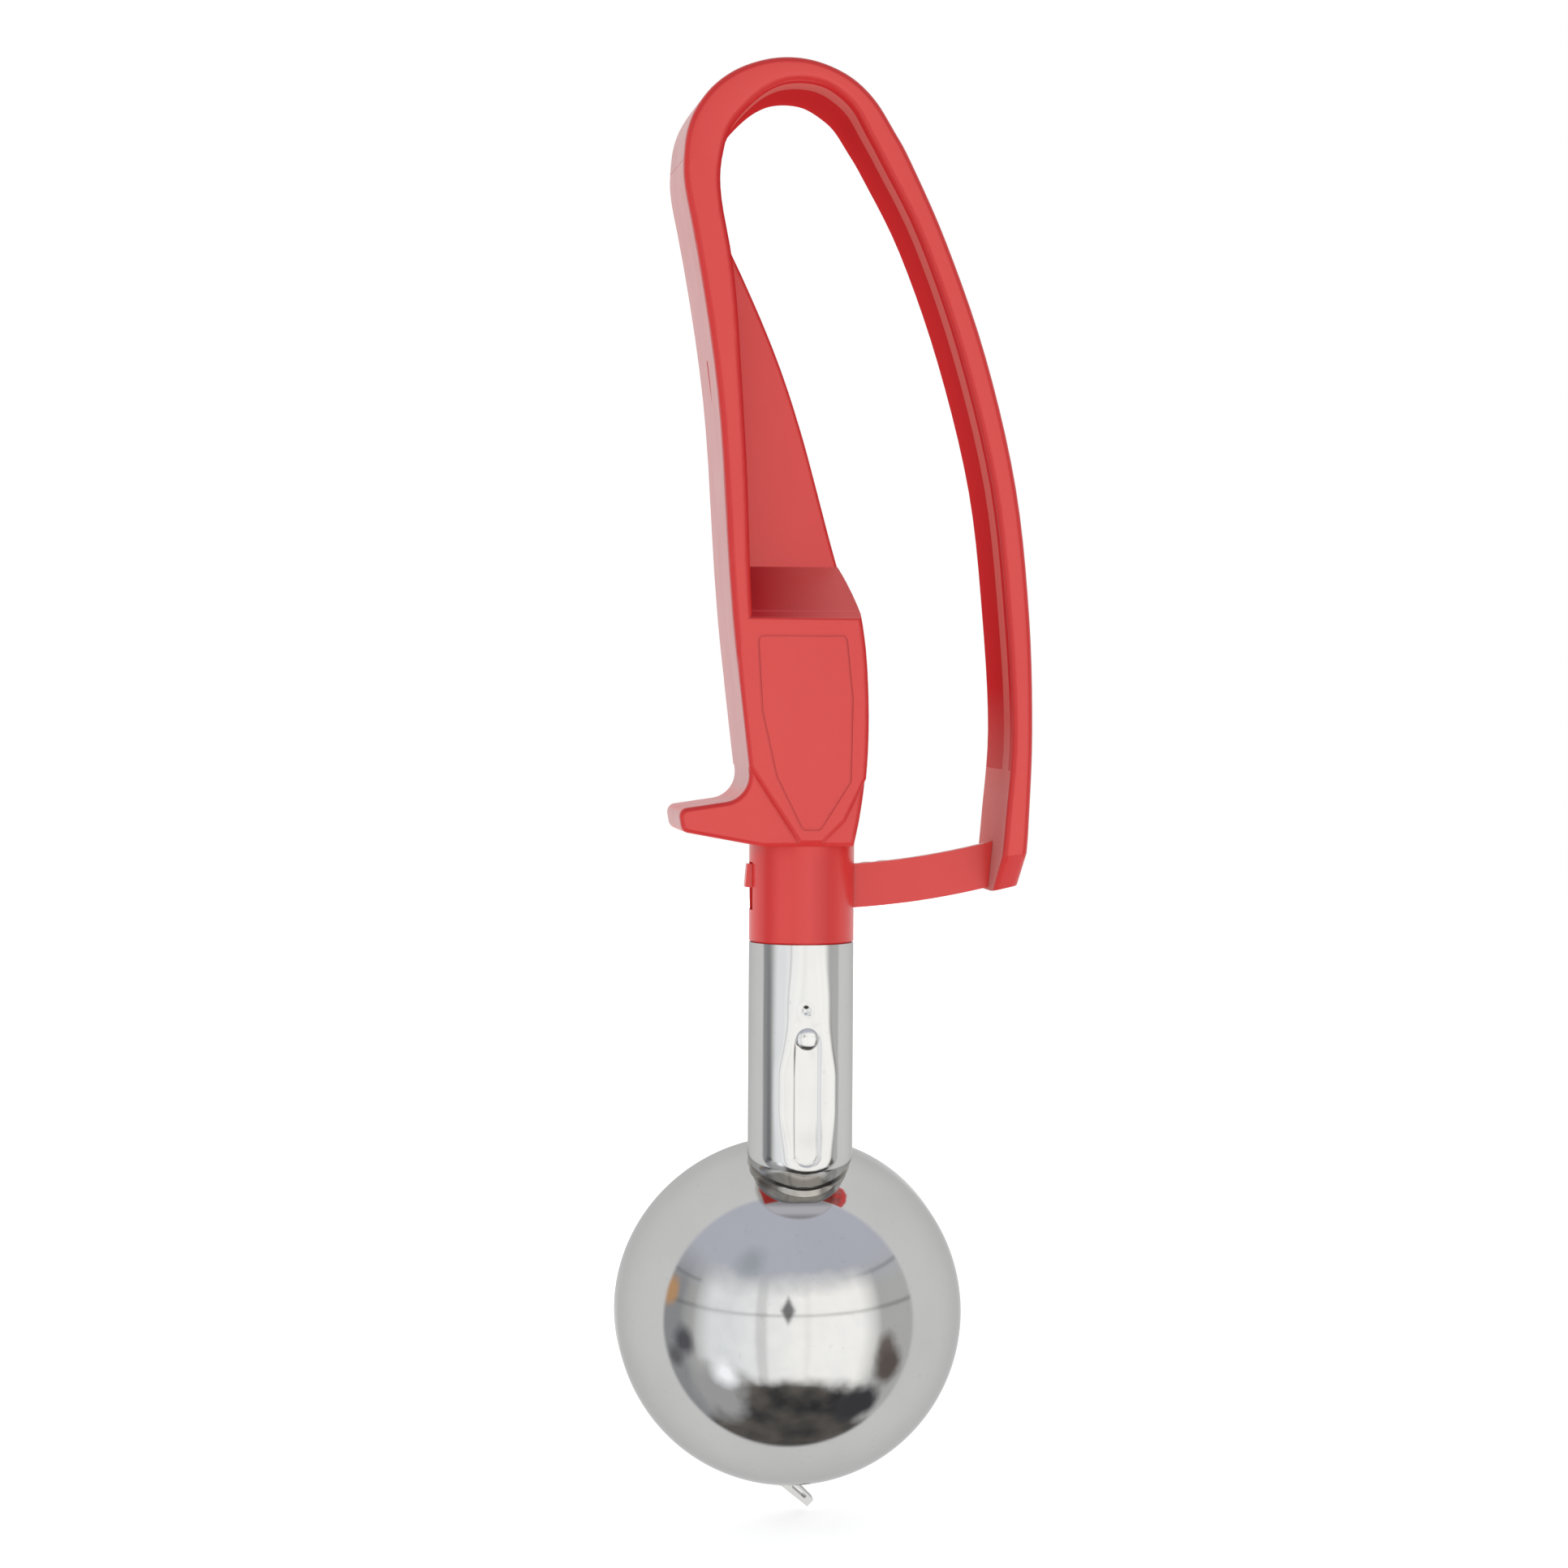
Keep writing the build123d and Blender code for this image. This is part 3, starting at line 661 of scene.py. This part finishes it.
bpy.ops.object.mode_set(mode="EDIT")
bpy.ops.mesh.select_mode(type="EDGE")
pick(ribbon, "edges", long_edge)
bpy.ops.mesh.bevel(offset=EDGE_ROUND * MM, segments=4, profile=0.5, clamp_overlap=False)
for cut in (LAND[0] - LAND_SHOULDER, LAND[0], LAND[1], LAND[1] + LAND_SHOULDER):
    bpy.ops.mesh.select_all(action="SELECT")
    bpy.ops.mesh.bisect(plane_co=(0, cut * MM, 0), plane_no=(0, 1, 0))
bpy.ops.mesh.select_mode(type="FACE")
pick(ribbon, "polygons", lambda face: pale(face) and face.center.z > LAND_FOOT * MM)
bpy.ops.transform.shrink_fatten(value=LAND_HEIGHT * MM)
ribbon.data.materials.append(red)
for slot, (paint, test) in enumerate([(inner_red, inside), (pale_red, pale)], 1):
    ribbon.data.materials.append(paint)
    ribbon.active_material_index = slot
    pick(ribbon, "polygons", test)
    bpy.ops.object.material_slot_assign()
bpy.ops.object.mode_set(mode="OBJECT")
bpy.ops.object.shade_smooth_by_angle(angle=math.radians(40))
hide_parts("spring_bow", "squeeze_lever")
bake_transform(ribbon)
print("ribbon:", len(ribbon.data.polygons), "faces")

# %% [markdown]
# ## Neck tube
# A drawn steel tube is swaged in at its foot to fit the bowl. Its front has been pressed flat to
# grip the handle's spigot, deeper towards the foot, with a small punch mark and a dished seat for
# the rivet. The tube is drawn by extruding a circle down its profile, and the presses are then made
# as the real ones are: every point in front is pushed in until it meets the tool's face.

# %% Draw the tube's profile
TUBE_RADIUS, TUBE_TOP, RING_GAP = 7.9375, -127.0, 0.32
ROUND, ROUND_Z, CONE = 4.0, -158.98, math.radians(36.45)
NECK_RADIUS, NECK_Z = 5.5, -163.6
profile = [(TUBE_TOP - RING_GAP * k, TUBE_RADIUS) for k in range(100)]
for k in range(11):
    swing = CONE * k / 10
    profile.append((ROUND_Z - ROUND * math.sin(swing), TUBE_RADIUS - ROUND * (1 - math.cos(swing))))
# The neck's rings: the height over the cone's foot, and how far its hollow corner is filled.
neck = [(1.6, 0), (1.0, 0), (0.5, 0.02), (0.15, 0.07), (-0.25, 0.02), (-0.7, 0), (-4.0, 0)]
profile += [
    (NECK_Z + over, NECK_RADIUS + max(0, over) * math.tan(CONE) + filled) for over, filled in neck
]
clear()
bpy.ops.mesh.primitive_circle_add(
    vertices=160, radius=TUBE_RADIUS * MM, location=(0, 0, TUBE_TOP * MM)
)
tube = bpy.context.object
tube.name = "neck_tube_skin"
settle(tube)
bpy.ops.object.mode_set(mode="EDIT")
bpy.ops.mesh.select_mode(type="EDGE")
bpy.ops.mesh.select_all(action="SELECT")
for (z0, r0), (z1, r1) in zip(profile, profile[1:]):
    bpy.ops.mesh.extrude_region_move(TRANSFORM_OT_translate={"value": (0, 0, (z1 - z0) * MM)})
    bpy.ops.transform.resize(value=(r1 / r0, r1 / r0, 1), center_override=(0, 0, z1 * MM))
bpy.ops.mesh.select_all(action="SELECT")
bpy.ops.mesh.normals_make_consistent(inside=False)
bpy.ops.object.mode_set(mode="OBJECT")
print("tube profile:", len(profile), "rings")

# %% [markdown]
# The press tool's face is a plain function of place: a flat in two depths that lifts again near the
# foot, a narrow channel down its middle, and two round dents for the punch and the rivet. Where the
# tube's round front meets the tool the two are rounded over, as bent metal is.

# %% Press the flat, the punch mark and the rivet's seat
FLAT_TOP, FLAT_LOW, FLAT_LIFT = -128, -139.0, -151.5
TOP_DEPTH, LOW_DEPTH, PRESS_RUN, LIFT_RUN = 0.32, 0.86, 8, 9.5
CHANNEL_TOP, CHANNEL_FOOT = -136, -158.4
CHANNEL_HALF, CHANNEL_EDGE, CHANNEL_DEPTH = 2.2, 0.6, 0.28
PUNCH_X, PUNCH_Z, PUNCH_DEPTH = -0.3, -136.8, 0.45
RIVET_Z, SEAT_DEPTH = -141.1, 0.30


def flat_depth(z):
    """How deep the flat is pressed into the front at a height, in millimetres."""
    lift = 1 - 0.55 * ease((FLAT_LIFT - z) / LIFT_RUN)
    top = TOP_DEPTH * ease((FLAT_TOP - z) / PRESS_RUN)
    low = LOW_DEPTH * ease((FLAT_LOW - z) / PRESS_RUN)
    return (top + low) * lift


def tool_face(x, z):
    """Distance of the press tool's face in front of the axis, and the depth of the two dents."""
    channel = ease((CHANNEL_HALF - math.hypot(x, min(0, z - CHANNEL_FOOT))) / CHANNEL_EDGE)
    channel *= ease((CHANNEL_TOP - z) / PRESS_RUN)
    punch = math.exp(-((x - PUNCH_X) ** 2 + (z - PUNCH_Z) ** 2) / 0.35)
    seat = math.exp(-(x**2 + (z - RIVET_Z) ** 2) / 4.5)
    face = TUBE_RADIUS - flat_depth(z) - CHANNEL_DEPTH * channel
    return face, PUNCH_DEPTH * punch + SEAT_DEPTH * seat


def soft_lower(a, b, soft):
    """The lower of two numbers, rounded over where they meet."""
    h = max(0, 1 - abs(a - b) / soft)
    return min(a, b) - h * h * soft / 4


for vertex in tube.data.vertices:
    x, y, z = vertex.co / MM
    if y < -3:
        face, dent = tool_face(x, z)
        vertex.co.y = -(soft_lower(-y, face, 0.5) - dent) * MM
print("pressed depth near the foot:", round(flat_depth(-154), 2), "mm")

# %% [markdown]
# The tube gets its wall by solidifying inwards. The shaft leaves it by a long slot behind, and its
# foot is cut to the bowl's round back. Both cuts are booleans with a plain tool shape, as a mill
# would make them. The slot's tool is a cylinder on the sweep axis whose back half is pulled
# backwards, out of the tube.

# %% Wall and slot
BOWL_CENTRE = Vector((0.0, 11.6, -185.17)) * MM
BOWL_RADIUS = 26.75 * MM
AXIS = Vector((0.0, 0.115157, -0.993347))
PINION = Vector((0.0, 3.9, -118.75)) * MM
TUBE_WALL = 0.8
SLOT_RADIUS, MILL_LENGTH, MILL_MIDDLE, MILL_PULL = 1.9, 60, 39.1, 4


def apply_modifier(piece, kind, **settings):
    """Add one modifier with its settings and apply it."""
    modifier = piece.modifiers.new(kind, kind)
    for key, value in settings.items():
        setattr(modifier, key, value)
    clear()
    piece.select_set(True)
    bpy.context.view_layer.objects.active = piece
    bpy.ops.object.modifier_apply(modifier=modifier.name)


def cut_with(piece, tool):
    """Take the tool's shape away from the piece, and the tool away after it."""
    apply_modifier(piece, "BOOLEAN", operation="DIFFERENCE", object=tool, solver="EXACT")
    bpy.data.objects.remove(tool)


def behind_axis(vertex):
    """A corner of the tool that is further back than the sweep axis beside it."""
    along = (vertex.co - PINION).dot(AXIS)
    return vertex.co.y > (PINION + AXIS * along).y + 0.05 * MM


apply_modifier(tube, "SOLIDIFY", thickness=TUBE_WALL * MM, offset=-1.0)
clear()
turn = AXIS.to_track_quat("Z", "Y").to_euler()
bpy.ops.mesh.primitive_cylinder_add(
    vertices=48, radius=SLOT_RADIUS * MM, depth=MILL_LENGTH * MM,
    location=PINION + AXIS * (MILL_MIDDLE * MM), rotation=turn,
)
mill = bpy.context.object
settle(mill)
bpy.ops.object.mode_set(mode="EDIT")
bpy.ops.mesh.select_mode(type="VERT")
pick(mill, "vertices", behind_axis)
bpy.ops.transform.translate(value=(0, MILL_PULL * MM, 0))
bpy.ops.object.mode_set(mode="OBJECT")
cut_with(tube, mill)
print("tube with its slot:", len(tube.data.polygons), "faces")

# %% Cut the foot to the bowl's back
FOOT_SUNK = 0.12
clear()
bpy.ops.mesh.primitive_uv_sphere_add(
    segments=96, ring_count=48, radius=BOWL_RADIUS - FOOT_SUNK * MM, location=BOWL_CENTRE
)
ball = bpy.context.object
settle(ball)
cut_with(tube, ball)
settle(tube)
bpy.ops.object.shade_smooth_by_angle(angle=math.radians(35))
tube.data.materials.clear()
tube.data.materials.append(tube_steel)
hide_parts("neck_tube")
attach(tube, "handle")
print("tube:", len(tube.data.polygons), "faces")

# %% [markdown]
# ## Rivet
# The rivet's head was set with a cupped tool, so it is a low dome with a small rim, sunk in the
# dish that the setting made. A sphere flattened and cut behind the seat gives that dome, and a
# short shank carries it into the tube's wall.

# %% Rivet head
RIVET_RADIUS, DOME = 1.7, 0.38
CUT_BEHIND, SHANK = 0.25, 0.6
clear()
seat_y = -(TUBE_RADIUS - flat_depth(RIVET_Z) - SEAT_DEPTH)
bpy.ops.mesh.primitive_uv_sphere_add(
    segments=48, ring_count=24, radius=RIVET_RADIUS * MM,
    location=(0, seat_y * MM, RIVET_Z * MM), rotation=(math.pi / 2, 0, 0),
)
rivet = bpy.context.object
rivet.name = "rivet_head"
rivet.scale = (1, 1, DOME)
settle(rivet)
bpy.ops.object.mode_set(mode="EDIT")
bpy.ops.mesh.select_all(action="SELECT")
bpy.ops.mesh.bisect(
    plane_co=(0, (seat_y + CUT_BEHIND) * MM, 0), plane_no=(0, 1, 0),
    clear_outer=True, use_fill=True, threshold=0.001 * MM,
)
bpy.ops.mesh.select_mode(type="FACE")
pick(rivet, "polygons", lambda face: face.center.y > (seat_y + CUT_BEHIND - 0.01) * MM)
bpy.ops.mesh.extrude_region_move(TRANSFORM_OT_translate={"value": (0, SHANK * MM, 0)})
bpy.ops.mesh.select_all(action="SELECT")
bpy.ops.mesh.normals_make_consistent(inside=False)
bpy.ops.object.mode_set(mode="OBJECT")
bpy.ops.object.shade_smooth_by_angle(angle=math.radians(40))
rivet.data.materials.clear()
rivet.data.materials.append(rivet_metal)
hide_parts("tube_rivet")
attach(rivet, "handle")
print("rivet seat at y", round(seat_y, 2), "mm")

# %% [markdown]
# ## Bowl
# The cup is spun from sheet, so it starts as half a sphere. The sphere's own poles are put on the
# sweep axis: taking them away and drawing the next ring to size leaves the two holes for the shaft,
# and the polished back shows only even faces.

# %% Halve a sphere and open its poles
HOLE = 1.55
SPHERE_RINGS = 96
clear()
bpy.ops.mesh.primitive_uv_sphere_add(segments=192, ring_count=SPHERE_RINGS, radius=BOWL_RADIUS)
cup = bpy.context.object
cup.name = "bowl_skin"


def from_axis(vertex):
    """Distance from the sweep axis, in millimetres."""
    return math.hypot(vertex.co.x, vertex.co.y) / MM


second_ring = BOWL_RADIUS / MM * math.sin(2 * math.pi / SPHERE_RINGS)
bpy.ops.object.mode_set(mode="EDIT")
bpy.ops.mesh.select_mode(type="FACE")
pick(cup, "polygons", lambda face: face.center.y > 0)
bpy.ops.mesh.delete(type="FACE")
bpy.ops.mesh.select_mode(type="VERT")
pick(cup, "vertices", lambda vertex: from_axis(vertex) < second_ring - 0.1)
bpy.ops.mesh.delete(type="VERT")
pick(cup, "vertices", lambda vertex: from_axis(vertex) < second_ring + 0.1)
bpy.ops.transform.resize(value=(HOLE / second_ring, HOLE / second_ring, 1), center_override=(0, 0, 0))
bpy.ops.object.mode_set(mode="OBJECT")
print("half sphere:", len(cup.data.polygons), "faces")

# %% [markdown]
# The short straight skirt at the rim is drawn out in small steps. In the first five the two ends of
# the rim close in on the axis, which makes the other half of each round hole. A wall grown inwards
# and a rolled edge finish the cup, and it is then turned onto the sweep axis.

# %% Draw out the skirt
SKIRT, CLOSING_STEPS = 4.0, 5


def at_depth(depth, reach=1000.0):
    """Vertices on the rim at this depth behind the sphere's middle, and within reach of the axis."""
    return lambda vertex: abs(vertex.co.y / MM - depth) < 0.001 and abs(vertex.co.x / MM) < reach


bpy.ops.object.mode_set(mode="EDIT")
depth, gap = 0.0, HOLE
for k in range(1, CLOSING_STEPS + 1):
    pick(cup, "vertices", at_depth(depth))
    swing = math.radians(90 / CLOSING_STEPS * k)
    deeper, closer = HOLE * math.sin(swing), HOLE * math.cos(swing)
    bpy.ops.mesh.extrude_region_move(TRANSFORM_OT_translate={"value": (0, (deeper - depth) * MM, 0)})
    pick(cup, "vertices", at_depth(deeper, gap + 0.01))
    bpy.ops.transform.resize(value=(closer / gap, 1, 1), center_override=(0, 0, 0))
    depth, gap = deeper, closer
bpy.ops.mesh.select_all(action="SELECT")
bpy.ops.mesh.remove_doubles(threshold=0.001 * MM)
pick(cup, "vertices", at_depth(depth))
bpy.ops.mesh.extrude_region_move(TRANSFORM_OT_translate={"value": (0, (SKIRT - depth) * MM, 0)})
bpy.ops.mesh.select_all(action="SELECT")
bpy.ops.mesh.normals_make_consistent(inside=False)
bpy.ops.object.mode_set(mode="OBJECT")
print("cup before its wall:", len(cup.data.polygons), "faces")

# %% Give the cup its wall and round its rim
BOWL_WALL, RIM_ROUND = 0.85, 0.22


def rim_ring(edge):
    """The two circles at the rim's end, without the short edges between them."""
    a, b = [cup.data.vertices[k].co for k in edge.vertices]
    low = min(a.y, b.y) / MM > SKIRT - 0.01
    return low and abs(math.hypot(a.x, a.z) - math.hypot(b.x, b.z)) < 0.1 * MM


apply_modifier(cup, "SOLIDIFY", thickness=BOWL_WALL * MM, offset=-1.0)
bpy.ops.object.mode_set(mode="EDIT")
bpy.ops.mesh.select_mode(type="EDGE")
pick(cup, "edges", rim_ring)
bpy.ops.mesh.bevel(offset=RIM_ROUND * MM, segments=3)
bpy.ops.object.mode_set(mode="OBJECT")
cup.location = BOWL_CENTRE
cup.rotation_euler = turn
settle(cup)
bpy.ops.object.shade_smooth_by_angle(angle=math.radians(35))
cup.data.materials.clear()
cup.data.materials.append(bowl_steel)
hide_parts("bowl")
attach(cup, "handle")
print("bowl:", len(cup.data.polygons), "faces")

# %% [markdown]
# ## The other pieces
# The grip, the rack arm, the braze, the blade and the drive already have their right shapes in the
# CAD model, so they only take their finishes. The nodes that were replaced are dressed too, so that
# nothing has a plain finish if it is shown.

# %% Dress the CAD nodes
finishes = {
    "handle_grip": red, "spring_bow": red, "squeeze_lever": red, "rack_arm": red,
    "neck_tube": tube_steel, "tube_rivet": rivet_metal, "braze_bead": braze, "pinion": satin_steel,
    "thrust_washer": nylon, "sweep_shaft": satin_steel, "bowl": bowl_steel, "sweep_blade": satin_steel,
}
for name, material in finishes.items():
    for k in range(len(nodes[name].material_slots)):
        nodes[name].material_slots[k].material = material
print("dressed", len(finishes), "nodes")

# %% [markdown]
# Last, the view layer is brought up to date.

# %% Finish
bpy.context.view_layer.update()
